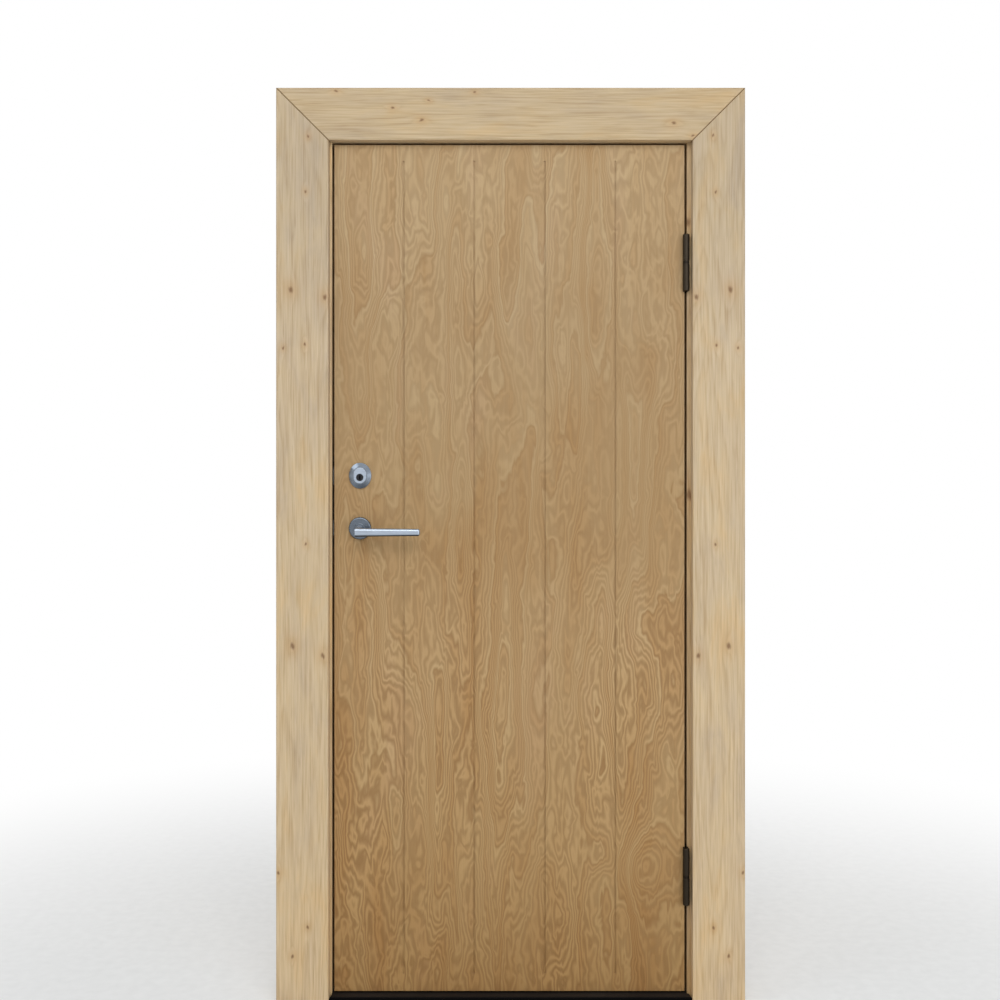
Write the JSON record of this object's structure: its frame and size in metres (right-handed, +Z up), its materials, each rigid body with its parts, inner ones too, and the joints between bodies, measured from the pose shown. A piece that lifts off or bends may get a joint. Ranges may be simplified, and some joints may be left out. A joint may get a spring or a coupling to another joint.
{
  "type": "storage door with frame",
  "caption": "Outward-opening plywood storage door with routed vertical grooves, in a rebated pine frame with mitred casings, a lever handle, a lock cylinder and a low black threshold.",
  "frame": {"origin": "under the middle of the threshold, on the plane of the frame's front edges", "axes": "+X to the right as seen from outside, +Y into the building, +Z up"},
  "size_m": [0.9573, 0.154, 1.867],
  "materials": {
    "plywood": "bare rotary-cut softwood plywood",
    "frame_pine": "planed bare pine",
    "casing_spruce": "planed bare spruce with small knots",
    "threshold_black": "black powder coat on aluminium",
    "hinge_dark": "dark brown-grey, semi-matt",
    "satin_steel": "satin",
    "plug_dark": "dark oxidised metal",
    "lock_steel": "zinc plated",
    "seal_rubber": "matt black"
  },
  "bodies": {
    "frame": {"hinge_jamb": "frame_pine", "lock_jamb": "frame_pine", "frame_head": "frame_pine", "seal_hinge_side": "seal_rubber", "seal_lock_side": "seal_rubber", "seal_head": "seal_rubber", "threshold": "threshold_black", "casing_left": "casing_spruce", "casing_right": "casing_spruce", "casing_top": "casing_spruce", "strike_plate": "lock_steel", "hinge_upper_frame_half": "hinge_dark", "hinge_lower_frame_half": "hinge_dark"},
    "leaf": {"leaf_outer_skin": "plywood", "leaf_inner_skin": "plywood", "leaf_lock_stile": "frame_pine", "leaf_hinge_stile": "frame_pine", "leaf_top_rail": "frame_pine", "leaf_bottom_rail": "frame_pine", "lock_forend": "lock_steel", "lock_latch": "lock_steel", "lock_dead_bolt": "lock_steel", "cylinder_ring_outer": "satin_steel", "cylinder_ring_inner": "satin_steel", "lock_cylinder": "satin_steel", "cylinder_plug": "plug_dark", "thumb_turn": "satin_steel", "rose_outer": "satin_steel", "rose_inner": "satin_steel", "hinge_upper_leaf_half": "hinge_dark", "hinge_lower_leaf_half": "hinge_dark"},
    "handle": {"lever_outer": "satin_steel", "lever_inner": "satin_steel", "lever_spindle": "lock_steel"}
  },
  "joints": [
    {"name": "door_swing", "type": "hinge", "parent": "frame", "child": "leaf", "pos_m": [0.3625, -0.009, 0.885], "axis": [0, 0, 1], "range_deg": [0, 135]},
    {"name": "handle_turn", "type": "hinge", "parent": "leaf", "child": "handle", "pos_m": [-0.307, 0.02, 0.967], "axis": [0, 1, 0], "range_deg": [0, 40], "stiffness_Nm_per_rad": 1, "springref_deg": -34.38}
  ]
}
